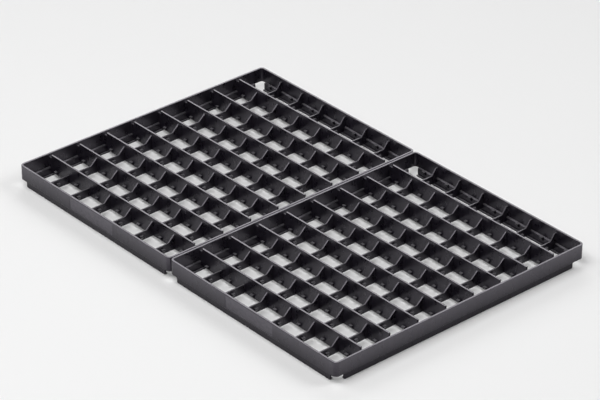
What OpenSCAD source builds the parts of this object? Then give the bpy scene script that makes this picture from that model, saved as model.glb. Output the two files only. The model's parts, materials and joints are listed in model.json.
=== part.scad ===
// Plug tray pair: two identical half-size nursery trays standing side by side,
// each an open grid of 7 by 9 cells. X runs along the long side of the pair,
// Y along the short side, Z up. The origin is the centre of the base.

/* [Tray] */
// Width of one tray, along X
tray_w = 299.5; // [280:0.5:320]
// Depth of one tray, along Y
tray_d = 400; // [380:1:420]
// Height of one tray
tray_h = 29.8; // [28:0.1:36]
// Gap between the two trays
tray_gap = 1; // [0.5:0.5:5]
// Number of cells across one tray, along X
cols = 7; // [5:1:8]
// Number of cells along one tray, along Y
rows = 9; // [6:1:11]
// Distance from the tray's left, front and back faces to the edge of the cell grid
grid_edge = 1.5; // [1:0.1:3]
// Distance from the tray's right face to the edge of the cell grid
grid_edge_right = 3.5; // [1:0.1:5]

/* [Rim] */
// Thickness of the upper wall
rim_t = 2.8; // [1.5:0.1:2.9]
// Height at which the upper wall ends and the skirt takes over
rim_bottom = 10; // [8:0.5:12]
// Outer corner radius of the upper wall
corner_r = 6; // [4:0.5:10]
// How deep a tray sinks into the one below it in a stack
nest_depth = 4.3; // [3:0.1:6]

/* [Label panel] */
// Distance from the tray's left side to the blank panel on the front
panel_x = 104; // [60:1:120]
// Length of the blank panel
panel_w = 85; // [40:1:120]
// Margin left above and below the panel
panel_margin = 2; // [1:0.5:4]
// Depth of the panel
panel_depth = 0.3; // [0.2:0.1:0.6]

/* [Skirt] */
// Set-back of the skirt from the outer face of the rim
skirt_inset = 3; // [3:0.1:4]
// Thickness of the skirt
skirt_t = 2; // [1.5:0.1:2.5]
// Thickness of the ledge that joins the skirt to the rim
ledge_t = 1.5; // [1:0.1:2]
// Width of the foot that turns inward at the bottom of the skirt
foot_w = 2.5; // [1:0.5:4]
// Thickness of the foot
foot_t = 1.5; // [1:0.1:2]
// Cut-away at the left end of the front and back skirts
cut_left = 10; // [10:0.5:18]
// Cut-away at the right end of the front and back skirts
cut_right = 12.5; // [10:0.5:18]
// Cut-away at each end of the left and right skirts
cut_y = 16; // [11:0.5:18]
// Radius of the skirt's lower corners
skirt_r = 2; // [1:0.5:4]

/* [Ribs] */
// Thickness of the tall ribs between the rows
rib_t = 2.3; // [1.2:0.1:2.5]
// How far the ribs stay below the top of the rim
rib_drop = 0.1; // [0:0.1:2.5]
// Height of the ribs' and bars' lower edge above the floor
grid_bottom = 4.7; // [3:0.1:6]
// Length of the notch at each end of a rib
notch_l = 4.8; // [4.7:0.1:8]

/* [Dividers] */
// Thickness of the dividers between the cells of a row
bar_t = 1.8; // [1.2:0.1:2.5]
// Height of the low bar in the middle of a divider
bar_top = 16.5; // [13:0.5:18]
// Length of the sloped wing at each end of a divider
wing_l = 10; // [8:0.5:13]
// Level top of a wing where it meets the front or back wall
wing_flat = 3; // [1:0.5:5]
// Dividers of the first row, from the left, that have no wings
plain_dividers = 2; // [0:1:3]

/* [Plug rests] */
// Length of a rest along the wall that it stands on
rest_l = 5; // [4:0.5:8]
// How far a rest stands out from its wall
rest_out = 3.3; // [2:0.1:5]
// Height of the upper face of a rest on a rib
rest_top = 10.4; // [8.5:0.1:11]
// Height of the upper face of a rest on a divider
bar_rest_top = 12.4; // [8.5:0.1:12.9]
// Thickness of a rest's outer lip
rest_lip = 1.4; // [1:0.1:2]
// Shift of the rests on the ribs from the middle of the cell, along X
rest_shift_x = -5; // [-6:0.5:6]
// Shift of the rests on the dividers from the middle of the cell, along Y
rest_shift_y = 2; // [-6:0.5:6]
// Shift of the rests on the left and right walls from the middle of the cell, along Y
wall_rest_shift = -3.5; // [-6:0.5:6]

/* [Hidden] */
$fn = 48;
side_names = ["left", "right"];
tray_left = [-tray_w - tray_gap / 2, tray_gap / 2];
pitch_x = (tray_w - grid_edge - grid_edge_right) / cols;
pitch_y = (tray_d - 2 * grid_edge) / rows;
rib_top = tray_h - rib_drop;
nest_z = tray_h - nest_depth;
skirt_in = skirt_inset + skirt_t;
ledge_top = rim_bottom + ledge_t;
rest_foot = 0.4;
over = 1;

per_tray = concat(
    ["rim", "skirt_front", "skirt_back", "skirt_left", "skirt_right"],
    [for (i = [1:rows - 1]) str("rib_", i)],
    [for (i = [1:rows]) str("divider_bars_row_", i)],
    ["divider_wings", "plug_rests"]
);

// Places of the walls, measured from the tray's left front corner.
function divider_x(i) = grid_edge + i * pitch_x;
function rib_y(j) = grid_edge + j * pitch_y;
// Inner faces of one cell, in the upper part of the walls.
function cell_front(r) = r == 0 ? rim_t : rib_y(r) + rib_t / 2;
function cell_back(r) = r == rows - 1 ? tray_d - rim_t : rib_y(r + 1) - rib_t / 2;
// Inner faces of one cell, in the lower part, where the skirt stands.
function low_left(c) = c == 0 ? skirt_in : divider_x(c) + bar_t / 2;
function low_right(c) = c == cols - 1 ? tray_w - skirt_in : divider_x(c + 1) - bar_t / 2;
function low_front(r) = r == 0 ? skirt_in : cell_front(r);
function low_back(r) = r == rows - 1 ? tray_d - skirt_in : cell_back(r);
// Wings stand on every divider but the plain ones of the first row.
function has_wings(r, i) = r > 0 || i > plain_dividers;

module plastic() color([0.11, 0.11, 0.12]) children();

// An outline drawn in X and Z, with its thickness centred on y.
module slab_xz(y, t) translate([0, y + t / 2, 0]) rotate([90, 0, 0]) linear_extrude(t) children();

// An outline drawn in Y and Z, with its thickness centred on x.
module slab_yz(x, t) translate([x - t / 2, 0, 0]) rotate([90, 0, 90]) linear_extrude(t) children();

module rounded_rect(w, d, r) {
    translate([r, 0]) square([w - 2 * r, d]);
    translate([0, r]) square([w, d - 2 * r]);
    for (x = [r, w - r], y = [r, d - r]) translate([x, y]) circle(r);
}

// Upper wall: a ring with round corners and a shallow blank panel on the front.
module rim() {
    plastic() translate([0, 0, rim_bottom]) difference() {
        linear_extrude(tray_h - rim_bottom) difference() {
            rounded_rect(tray_w, tray_d, corner_r);
            translate([rim_t, rim_t])
                rounded_rect(tray_w - 2 * rim_t, tray_d - 2 * rim_t, corner_r - rim_t);
        }
        translate([panel_x, -over, panel_margin])
            cube([panel_w, over + panel_depth, tray_h - rim_bottom - 2 * panel_margin]);
    }
}

// Section through a skirt: ledge at the top, wall, and foot turned inward.
module skirt_section() {
    polygon([
        [rim_t, rim_bottom], [skirt_inset, rim_bottom], [skirt_inset, 0],
        [skirt_in + foot_w, 0], [skirt_in + foot_w, foot_t], [skirt_in, foot_t],
        [skirt_in, ledge_top], [rim_t, ledge_top]
    ]);
}

// Side view of a skirt, with its two lower corners rounded.
module skirt_side(from, to) {
    translate([from, skirt_r]) square([to - from, ledge_top + over - skirt_r]);
    translate([from + skirt_r, 0]) square([to - from - 2 * skirt_r, skirt_r + over]);
    for (p = [from + skirt_r, to - skirt_r]) translate([p, skirt_r]) circle(skirt_r);
}

// Skirt along the front, in the tray's own frame.
module front_skirt() {
    plastic() intersection() {
        slab_yz(tray_w / 2, tray_w) skirt_section();
        slab_xz(skirt_in, 2 * (skirt_in + foot_w)) skirt_side(cut_left, tray_w - cut_right);
    }
}

// Skirt along the left side, in the tray's own frame.
module left_skirt() {
    plastic() intersection() {
        slab_xz(tray_d / 2, tray_d - 2 * cut_y) skirt_section();
        slab_yz(skirt_in, 2 * (skirt_in + foot_w)) skirt_side(cut_y, tray_d - cut_y);
    }
}

module back_skirt() translate([0, tray_d, 0]) mirror([0, 1, 0]) front_skirt();

module right_skirt() translate([tray_w, 0, 0]) mirror([1, 0, 0]) left_skirt();

// Tall rib across the tray. Its ends are notched, so that a tray stacked on top can sink in.
module rib(j) {
    plastic() slab_xz(rib_y(j), rib_t) polygon([
        [skirt_in, grid_bottom], [tray_w - skirt_in, grid_bottom],
        [tray_w - skirt_in, ledge_top], [tray_w - rim_t, ledge_top],
        [tray_w - rim_t, nest_z], [tray_w - rim_t - notch_l, nest_z],
        [tray_w - rim_t - notch_l, rib_top], [rim_t + notch_l, rib_top],
        [rim_t + notch_l, nest_z], [rim_t, nest_z],
        [rim_t, ledge_top], [skirt_in, ledge_top]
    ]);
}

// Low bars between the cells of one row. At the outer walls they step over the skirt's ledge.
module divider_bars(r) {
    plastic() for (i = [1:cols - 1]) slab_yz(divider_x(i), bar_t) polygon([
        [low_front(r), grid_bottom], [low_back(r), grid_bottom],
        [low_back(r), ledge_top], [cell_back(r), ledge_top],
        [cell_back(r), bar_top], [cell_front(r), bar_top],
        [cell_front(r), ledge_top], [low_front(r), ledge_top]
    ]);
}

// Outline of a wing on the wall at y = face. out is 1 or -1; an outer wing has a level top.
module wing_outline(face, out, outer) {
    flat = outer ? [[face + out * wing_flat, nest_z]] : [];
    polygon(concat([[face, bar_top], [face + out * wing_l, bar_top]], flat, [[face, nest_z]]));
}

// Sloped wings that stand on the low bars and stiffen the ribs.
module divider_wings() {
    plastic() for (r = [0:rows - 1], i = [1:cols - 1]) if (has_wings(r, i)) {
        slab_yz(divider_x(i), bar_t) wing_outline(cell_front(r), 1, r == 0);
        slab_yz(divider_x(i), bar_t) wing_outline(cell_back(r), -1, r == rows - 1);
    }
}

// Section through a rest: a flat top and a slanted underside. out is 1 or -1.
module rest_section(face, out, top) {
    polygon([
        [face, grid_bottom + rest_foot], [face + out * rest_out, top - rest_lip],
        [face + out * rest_out, top], [face, top]
    ]);
}

// Four small rests in every cell, one on each wall, level with the ledge on the outer walls.
module plug_rests() {
    function top(outer, inner_top) = outer ? ledge_top : inner_top;
    function shift(outer) = outer ? 0 : rest_shift_x;
    function shift_y(outer) = outer ? wall_rest_shift : rest_shift_y;
    plastic() for (c = [0:cols - 1], r = [0:rows - 1]) {
        x = divider_x(c + 0.5);
        y = rib_y(r + 0.5);
        slab_yz(x + shift(r == 0), rest_l) rest_section(low_front(r), 1, top(r == 0, rest_top));
        slab_yz(x + shift(r == rows - 1), rest_l)
            rest_section(low_back(r), -1, top(r == rows - 1, rest_top));
        slab_xz(y + shift_y(c == 0), rest_l)
            rest_section(low_left(c), 1, top(c == 0, bar_rest_top));
        slab_xz(y + shift_y(c == cols - 1), rest_l)
            rest_section(low_right(c), -1, top(c == cols - 1, bar_rest_top));
    }
}

module in_tray(side) translate([tray_left[side], -tray_d / 2, 0]) children();

for (s = [0, 1]) {
    in_tray(s) rim();
    in_tray(s) front_skirt();
    in_tray(s) back_skirt();
    in_tray(s) left_skirt();
    in_tray(s) right_skirt();
    for (j = [1:rows - 1])
        in_tray(s) rib(j);
    for (r = [1:rows])
        in_tray(s) divider_bars(r - 1);
    in_tray(s) divider_wings();
    in_tray(s) plug_rests();
}
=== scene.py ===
"""Looks of the plug tray pair: moulded pieces, black plastic, studio floor, light and camera."""

import json
import math

import bmesh
import bpy
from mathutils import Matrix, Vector
from mathutils.bvhtree import BVHTree

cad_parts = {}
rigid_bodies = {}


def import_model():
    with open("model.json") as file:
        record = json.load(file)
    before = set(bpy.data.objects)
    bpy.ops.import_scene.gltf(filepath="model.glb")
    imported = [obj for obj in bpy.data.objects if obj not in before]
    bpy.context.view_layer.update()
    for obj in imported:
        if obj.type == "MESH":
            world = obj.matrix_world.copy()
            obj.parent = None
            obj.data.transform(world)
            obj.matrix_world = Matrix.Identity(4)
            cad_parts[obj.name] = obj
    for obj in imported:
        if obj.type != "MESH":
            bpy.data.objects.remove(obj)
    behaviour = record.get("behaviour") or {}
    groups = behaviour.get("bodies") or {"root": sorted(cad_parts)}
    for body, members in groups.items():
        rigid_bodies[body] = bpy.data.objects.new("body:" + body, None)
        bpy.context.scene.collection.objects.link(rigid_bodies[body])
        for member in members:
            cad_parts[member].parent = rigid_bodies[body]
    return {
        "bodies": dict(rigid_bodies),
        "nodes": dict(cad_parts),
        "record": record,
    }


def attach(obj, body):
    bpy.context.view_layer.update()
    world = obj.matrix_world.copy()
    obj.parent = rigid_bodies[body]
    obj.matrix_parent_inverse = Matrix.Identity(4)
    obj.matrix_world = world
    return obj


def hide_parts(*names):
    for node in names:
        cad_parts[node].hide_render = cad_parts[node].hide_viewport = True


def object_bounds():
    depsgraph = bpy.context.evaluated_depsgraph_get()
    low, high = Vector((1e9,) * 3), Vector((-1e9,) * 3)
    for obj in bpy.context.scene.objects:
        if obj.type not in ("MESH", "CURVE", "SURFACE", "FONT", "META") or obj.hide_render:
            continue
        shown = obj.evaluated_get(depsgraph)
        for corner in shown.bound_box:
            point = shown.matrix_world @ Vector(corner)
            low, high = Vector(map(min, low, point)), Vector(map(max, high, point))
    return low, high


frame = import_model()
cad_box = [list(corner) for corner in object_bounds()]

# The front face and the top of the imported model
FRONT = cad_box[0][1]
TOP = cad_box[1][2]

MM = 0.001

# Radius of the moulded outer edges, by the word that follows the side in a node's name
EDGE_RADIUS = {"rim": 0.5 * MM, "skirt": 0.5 * MM, "rib": 0.2 * MM, "divider": 0.25 * MM, "plug": 0.3 * MM}
EDGE_SEGMENTS = 3
# Chamfers along the skirt's ledge and round the blank panel, and the heights above which each lies
LEDGE_CHAMFER = 1.1 * MM
LEDGE_ABOVE = 11 * MM
PANEL_CHAMFER = 0.15 * MM
PANEL_ABOVE = 11 * MM
# The panel's face lies this far behind the front, from and to
PANEL_DEPTHS = (0.1 * MM, 1 * MM)
# Smooth shading stops at this angle, and covers only faces narrower than this
SHARP_ANGLE = math.radians(32)
NARROW = 1.0 * MM
# Triangles that bend by less than this are one flat face
FLAT_ANGLE = math.radians(0.5)
# How far in front of a face its neighbour is looked for, and how far a joined face is sunk into it
TOUCH = 0.05 * MM
SINK = 0.35 * MM
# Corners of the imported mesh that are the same, slivers left by roundings, and corners on a joined face
SAME_CORNER = 0.001 * MM
TINY = 0.002 * MM
ON_PLANE = 1e-7
# A ray in no special direction, and the step that takes it past a face it has hit
RAY = Vector((0.137, 0.211, 0.968)).normalized()
RAY_STEP = 1e-6

# Plastic: two blacks in clouds, paler flow lines, the panel's face, and dust
PLASTIC_DARK = (0.0048, 0.0038, 0.0070, 1)
PLASTIC_LIGHT = (0.0090, 0.0074, 0.0120, 1)
PLASTIC_FLOW = (0.019, 0.016, 0.024, 1)
PANEL_LIGHT = (0.072, 0.067, 0.079, 1)
DUST = (0.16, 0.155, 0.165, 1)
# Share of a level face that the dust film covers
SETTLED = 0.5
ROUGHNESS = 0.30
ROUGHNESS_SPREAD = 0.04
PANEL_ROUGHER = 0.16
PLASTIC_IOR = 1.68
SHEEN_TINT = (0.93, 0.87, 1.0, 1)
# Strength of the reflections near the floor, a painted shade, and near the rim, a painted highlight, and
# the heights between which it changes
SHADED_SHEEN = 0.2
HIGHLIGHT_SHEEN = 0.66
SHADED_BELOW = 7 * MM
HIGHLIGHT_ABOVE = 28 * MM
# Sizes of the patterns, in features per metre
CLOUDS = 20
RIPPLE = 45
BLOTCHES = 130
PATCHES = 260
SPECKS = 900
SPARKS = 1800
GRAIN = 2600
FLOW_LINES = (260, 260, 14)
PATCH_STRETCH = (0.7, 1, 1)

# Camera
CAMERA_AZIMUTH = 49.1
CAMERA_ELEVATION = 30.46
CAMERA_DISTANCE = 3.828
CAMERA_AIM = Vector((-0.0206, 0.0245, 0.0156))
CAMERA_LENS = 185.1
CAMERA_SEES_TO = 50
SENSOR_WIDTH = 36.0

# Floor
FLOOR_SIZE = 16.0
FLOOR_GREY = 0.81
FLOOR_ROUGHNESS = 0.9
FLOOR_SHEEN = 0.1

# Softboxes: azimuth and elevation in degrees, side of the square in metres, power in watts
LIGHT_DISTANCE = 3.0
SOFTBOXES = {
    "overhead_softbox": (0, 70, 2.2, 66),
    "back_left_softbox": (229, 31, 1.7, 22),
    "back_right_softbox": (138, 40, 1.5, 27),
    "front_left_softbox": (305, 36, 1.3, 14),
    "camera_side_softbox": (45, 50, 2.2, 13),
}
SURROUNDINGS = 0.03


def direction(azimuth, elevation):
    """Unit vector from the object towards a place round it; azimuth 0 is in front, 90 to the right."""
    a, e = math.radians(azimuth), math.radians(elevation)
    return Vector((math.sin(a) * math.cos(e), -math.cos(a) * math.cos(e), math.sin(e)))


def aim(obj, target):
    """Turns a camera or a light so that it looks at target, with its top side up."""
    obj.rotation_euler = (target - obj.location).to_track_quat("-Z", "Y").to_euler()


# ---------------------------------------------------------------- shapes

def cleaned(mesh):
    """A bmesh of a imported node: its doubled corners merged and its flat triangles joined."""
    bm = bmesh.new()
    bm.from_mesh(mesh)
    bmesh.ops.remove_doubles(bm, verts=bm.verts, dist=SAME_CORNER)
    bmesh.ops.dissolve_limit(bm, angle_limit=FLAT_ANGLE, verts=bm.verts, edges=bm.edges)
    bm.normal_update()
    return bm


def inside(tree, point):
    """True if point is inside the solids of tree: a ray from it crosses them an odd number of times."""
    crossings, place = 0, point.copy()
    while True:
        hit, _, _, _ = tree.ray_cast(place, RAY)
        if hit is None:
            return crossings % 2 == 1
        crossings += 1
        place = hit + RAY * RAY_STEP


def touches(face, tree):
    """True if the whole face lies against another solid of the same moulding."""
    middle = face.calc_center_median()
    spots = [middle] + [middle.lerp(v.co, 0.8) for v in face.verts]
    return all(inside(tree, p + face.normal * TOUCH) for p in spots)


def free_edge(edge, joined):
    """True for an outer edge that the mould rounds: it bends outwards and borders no joined face."""
    if len(edge.link_faces) != 2 or any(f in joined for f in edge.link_faces):
        return False
    return edge.is_convex and edge.calc_face_angle() > SHARP_ANGLE


def cut_edges(bm, edges, width, segments):
    """Rounds the given edges of bm, or chamfers them with one segment."""
    bmesh.ops.bevel(bm, geom=edges, offset=width, segments=segments, profile=0.5,
                    affect="EDGES", clamp_overlap=True, harden_normals=False)
    bm.normal_update()


def on_ledge(edge):
    """True for an edge along the top of a skirt's ledge."""
    return all(v.co.z > LEDGE_ABOVE for v in edge.verts)


def outlines_panel(edge):
    """True for an edge of the outline of a blank panel in the front wall."""
    return all(abs(v.co.y - FRONT) < TINY and PANEL_ABOVE < v.co.z < TOP - MM for v in edge.verts)


def tidied(bm):
    """Removes the slivers that meeting roundings leave behind."""
    bmesh.ops.remove_doubles(bm, verts=bm.verts, dist=TINY)
    bmesh.ops.dissolve_degenerate(bm, edges=bm.edges, dist=TINY)
    bm.normal_update()


def on_panel(face):
    """True for the face at the bottom of a blank panel in the front wall."""
    middle = face.calc_center_median()
    behind = middle.y - FRONT
    return face.normal.y < -0.99 and PANEL_DEPTHS[0] < behind < PANEL_DEPTHS[1] and middle.z > PANEL_ABOVE


def narrow(face):
    """True for the narrow strips that make up a rounding; every wider face is a true flat."""
    return face.calc_area() / max(e.calc_length() for e in face.edges) < NARROW


def shade(bm):
    """Smooth shading over the roundings, which stops at edges sharper than SHARP_ANGLE."""
    for face in bm.faces:
        face.smooth = narrow(face)
    for edge in bm.edges:
        edge.smooth = len(edge.link_faces) == 2 and edge.calc_face_angle() < SHARP_ANGLE


def sink(bm, planes):
    """Moves the corners on joined faces a little into the neighbours; a plane is a normal and an offset."""
    for vert in bm.verts:
        on = [normal for normal, offset in planes if abs(normal.dot(vert.co) - offset) < ON_PLANE]
        for normal in {tuple(round(c, 4) for c in n) for n in on}:
            vert.co += Vector(normal) * SINK


def moulded(name, others, body, radius):
    """The visible piece of one node: free edges rounded and joined faces sunk into the neighbours."""
    bm = cleaned(frame["nodes"][name].data)
    joined = {f for f in bm.faces if touches(f, others)}
    planes = [(f.normal.copy(), f.normal.dot(f.calc_center_median())) for f in joined]
    edges = [e for e in bm.edges if free_edge(e, joined)]
    if "_skirt_" in name:
        cut_edges(bm, [e for e in edges if on_ledge(e)], LEDGE_CHAMFER, 1)
        edges = [e for e in edges if e.is_valid and not on_ledge(e)]
    cut_edges(bm, [e for e in edges if not outlines_panel(e)], radius, EDGE_SEGMENTS)
    cut_edges(bm, [e for e in edges if e.is_valid and outlines_panel(e)], PANEL_CHAMFER, 1)
    tidied(bm)
    for face in bm.faces:
        face.material_index = 1 if on_panel(face) else 0
    sink(bm, planes)
    shade(bm)
    mesh = bpy.data.meshes.new(name + "_moulded")
    bm.to_mesh(mesh)
    bm.free()
    piece = bpy.data.objects.new(name + "_moulded", mesh)
    bpy.context.collection.objects.link(piece)
    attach(piece, body)
    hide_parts(name)
    return piece


def tree_of(names):
    """One search tree over several nodes' solids."""
    verts, faces = [], []
    for name in names:
        mesh = frame["nodes"][name].data
        start = len(verts)
        verts += [v.co.copy() for v in mesh.vertices]
        faces += [tuple(start + i for i in p.vertices) for p in mesh.polygons]
    return BVHTree.FromPolygons(verts, faces)


def mould_tray(body):
    """All the visible pieces of one tray."""
    names = sorted(frame["record"]["behaviour"]["bodies"][body])
    pieces = []
    for name in names:
        kind = name.split("_")[1]
        others = tree_of([n for n in names if n != name])
        pieces.append(moulded(name, others, body, EDGE_RADIUS[kind]))
    return pieces


# ---------------------------------------------------------------- materials

def node_material(name):
    """A new material with an empty node tree, its Principled shader and output already joined."""
    mat = bpy.data.materials.new(name)
    mat.use_nodes = True
    tree = mat.node_tree
    tree.nodes.clear()
    out = tree.nodes.new("ShaderNodeOutputMaterial")
    shader = tree.nodes.new("ShaderNodeBsdfPrincipled")
    tree.links.new(shader.outputs["BSDF"], out.inputs["Surface"])
    return mat, tree, shader


def link_or_set(tree, socket, value):
    """Feeds a socket from another node's output, or sets it to a number."""
    if isinstance(value, (int, float)):
        socket.default_value = value
    else:
        tree.links.new(value, socket)


def stretched(tree, vector, scale):
    """The vector scaled by a different factor along each axis."""
    node = tree.nodes.new("ShaderNodeMapping")
    node.inputs["Scale"].default_value = scale
    tree.links.new(vector, node.inputs["Vector"])
    return node.outputs["Vector"]


def noise(tree, scale, detail, vector, roughness=0.5):
    """Noise texture; its scale is in features per metre of the vector."""
    node = tree.nodes.new("ShaderNodeTexNoise")
    node.inputs["Scale"].default_value = scale
    node.inputs["Detail"].default_value = detail
    node.inputs["Roughness"].default_value = roughness
    tree.links.new(vector, node.inputs["Vector"])
    return node.outputs["Fac"]


def remap(tree, value, low, high, to_low, to_high):
    """Maps value from low..high to to_low..to_high, clamped."""
    node = tree.nodes.new("ShaderNodeMapRange")
    for socket, number in zip(node.inputs[1:5], (low, high, to_low, to_high)):
        socket.default_value = number
    tree.links.new(value, node.inputs[0])
    return node.outputs[0]


def math_node(tree, operation, a, b):
    """One sum or product of two values."""
    node = tree.nodes.new("ShaderNodeMath")
    node.operation = operation
    link_or_set(tree, node.inputs[0], a)
    link_or_set(tree, node.inputs[1], b)
    return node.outputs[0]


def blend(tree, factor, first, second):
    """A colour that goes from first to second with factor; each is a colour or another node's output."""
    node = tree.nodes.new("ShaderNodeMix")
    node.data_type = "RGBA"
    tree.links.new(factor, node.inputs[0])
    for socket, colour in ((node.inputs[6], first), (node.inputs[7], second)):
        if isinstance(colour, tuple):
            socket.default_value = colour
        else:
            tree.links.new(colour, socket)
    return node.outputs[2]


def bump(tree, height, strength, distance, normal=None):
    """Bump of the given height map, laid over an earlier one."""
    node = tree.nodes.new("ShaderNodeBump")
    node.inputs["Strength"].default_value = strength
    node.inputs["Distance"].default_value = distance
    tree.links.new(height, node.inputs["Height"])
    if normal is not None:
        tree.links.new(normal, node.inputs["Normal"])
    return node.outputs["Normal"]


def upright(tree, vector):
    """The Z component of a vector."""
    split = tree.nodes.new("ShaderNodeSeparateXYZ")
    tree.links.new(vector, split.inputs[0])
    return split.outputs["Z"]


def facing_up(tree):
    """How far a surface faces up: 0 on the walls, 1 on level faces."""
    normal = tree.nodes.new("ShaderNodeNewGeometry").outputs["Normal"]
    return remap(tree, upright(tree, normal), 0.3, 0.9, 0, 1)


def set_painted_sheen(tree, shader, place):
    """Weakens the plastic's reflections towards the floor as painted shade, and strengthens them near the
    rim as a painted highlight.
    """
    painted_sheen = remap(tree, upright(tree, place), SHADED_BELOW, HIGHLIGHT_ABOVE, SHADED_SHEEN, HIGHLIGHT_SHEEN)
    tree.links.new(painted_sheen, shader.inputs["Specular IOR Level"])
    shader.inputs["IOR"].default_value = PLASTIC_IOR
    shader.inputs["Specular Tint"].default_value = SHEEN_TINT


def plastic_material():
    """Semi-gloss black polypropylene: uneven black, upright flow lines, mottled gloss, dust and grain."""
    mat, tree, shader = node_material("black_polypropylene_moulded")
    place = tree.nodes.new("ShaderNodeTexCoord").outputs["Object"]
    clouds = noise(tree, CLOUDS, 3, place)
    blotches = noise(tree, BLOTCHES, 3, place, 0.6)
    flow = noise(tree, 1, 2, stretched(tree, place, FLOW_LINES))
    specks = noise(tree, SPECKS, 2, place, 0.7)
    grain = noise(tree, GRAIN, 2, place)
    ripple = noise(tree, RIPPLE, 1, place)

    colour = blend(tree, remap(tree, clouds, 0.3, 0.7, 0, 1), PLASTIC_DARK, PLASTIC_LIGHT)
    colour = blend(tree, remap(tree, flow, 0.5, 0.8, 0, 0.7), colour, PLASTIC_FLOW)
    gathered = remap(tree, blotches, 0.45, 0.7, 0, 0.6)
    dusty = math_node(tree, "MULTIPLY", remap(tree, specks, 0.66, 0.76, 0, 1), gathered)
    colour = blend(tree, dusty, colour, DUST)
    film = remap(tree, blotches, 0.3, 0.7, SETTLED * 0.7, SETTLED * 1.3)
    colour = blend(tree, math_node(tree, "MULTIPLY", facing_up(tree), film), colour, DUST)
    tree.links.new(colour, shader.inputs["Base Color"])

    gloss = remap(tree, blotches, 0.3, 0.7, ROUGHNESS - ROUGHNESS_SPREAD, ROUGHNESS + ROUGHNESS_SPREAD)
    gloss = math_node(tree, "ADD", gloss, remap(tree, flow, 0.3, 0.7, -0.03, 0.03))
    gloss = math_node(tree, "ADD", gloss, remap(tree, dusty, 0, 1, 0, 0.3))
    tree.links.new(gloss, shader.inputs["Roughness"])
    # Painted shade and highlight: reflections fade towards the floor and grow near the rim
    set_painted_sheen(tree, shader, place)
    coarse = bump(tree, ripple, 0.15, 0.2 * MM)
    tree.links.new(bump(tree, grain, 0.12, 0.05 * MM, coarse), shader.inputs["Normal"])
    return mat


def panel_material():
    """The blank panel's finish: the same plastic off a rougher, spark-eroded patch of the mould."""
    mat, tree, shader = node_material("black_polypropylene_panel")
    place = tree.nodes.new("ShaderNodeTexCoord").outputs["Object"]
    patches = noise(tree, PATCHES, 4, stretched(tree, place, PATCH_STRETCH), 0.65)
    spark = noise(tree, SPARKS, 3, place, 0.6)
    colour = blend(tree, remap(tree, patches, 0.2, 0.7, 0.2, 1), PLASTIC_LIGHT, PANEL_LIGHT)
    tree.links.new(colour, shader.inputs["Base Color"])
    gloss = remap(tree, spark, 0.3, 0.7, ROUGHNESS, ROUGHNESS + PANEL_ROUGHER)
    tree.links.new(gloss, shader.inputs["Roughness"])
    # Painted shade and highlight: reflections fade towards the floor and grow near the rim
    set_painted_sheen(tree, shader, place)
    tree.links.new(bump(tree, spark, 0.3, 0.05 * MM), shader.inputs["Normal"])
    return mat


def floor_material():
    """Plain matt studio floor."""
    mat, tree, shader = node_material("studio_floor")
    shader.inputs["Base Color"].default_value = (FLOOR_GREY, FLOOR_GREY, FLOOR_GREY, 1)
    shader.inputs["Roughness"].default_value = FLOOR_ROUGHNESS
    shader.inputs["Specular IOR Level"].default_value = FLOOR_SHEEN
    return mat


# ---------------------------------------------------------------- studio

def add_floor():
    """A large plain floor under the trays."""
    half = FLOOR_SIZE / 2
    mesh = bpy.data.meshes.new("floor")
    corners = [(-half, -half, 0), (half, -half, 0), (half, half, 0), (-half, half, 0)]
    mesh.from_pydata(corners, [], [(0, 1, 2, 3)])
    mesh.materials.append(floor_material())
    floor = bpy.data.objects.new("floor", mesh)
    bpy.context.collection.objects.link(floor)


def add_softbox(name, azimuth, elevation, size, power):
    """A square softbox aimed at the trays."""
    data = bpy.data.lights.new(name, "AREA")
    data.shape = "SQUARE"
    data.size = size
    data.energy = power
    light = bpy.data.objects.new(name, data)
    light.location = direction(azimuth, elevation) * LIGHT_DISTANCE
    bpy.context.collection.objects.link(light)
    aim(light, Vector((0, 0, 0)))


def add_surroundings():
    """Even white surroundings, which only lift the shadows."""
    world = bpy.data.worlds.new("studio")
    world.use_nodes = True
    background = world.node_tree.nodes["Background"]
    background.inputs["Color"].default_value = (1, 1, 1, 1)
    background.inputs["Strength"].default_value = SURROUNDINGS
    bpy.context.scene.world = world


def add_camera():
    """The camera, at the photograph's viewing angle."""
    data = bpy.data.cameras.new("camera")
    data.lens = CAMERA_LENS
    data.sensor_width = SENSOR_WIDTH
    data.clip_end = CAMERA_SEES_TO
    camera = bpy.data.objects.new("camera", data)
    camera.location = CAMERA_AIM + direction(CAMERA_AZIMUTH, CAMERA_ELEVATION) * CAMERA_DISTANCE
    bpy.context.collection.objects.link(camera)
    aim(camera, CAMERA_AIM)
    bpy.context.scene.camera = camera


plastic = plastic_material()
panel = panel_material()
for body_name in frame["bodies"]:
    for tray_piece in mould_tray(body_name):
        tray_piece.data.materials.append(plastic)
        if "_rim" in tray_piece.name:
            tray_piece.data.materials.append(panel)
add_floor()
add_surroundings()
for softbox, settings in SOFTBOXES.items():
    add_softbox(softbox, *settings)
add_camera()
bpy.context.scene.view_settings.view_transform = "Standard"
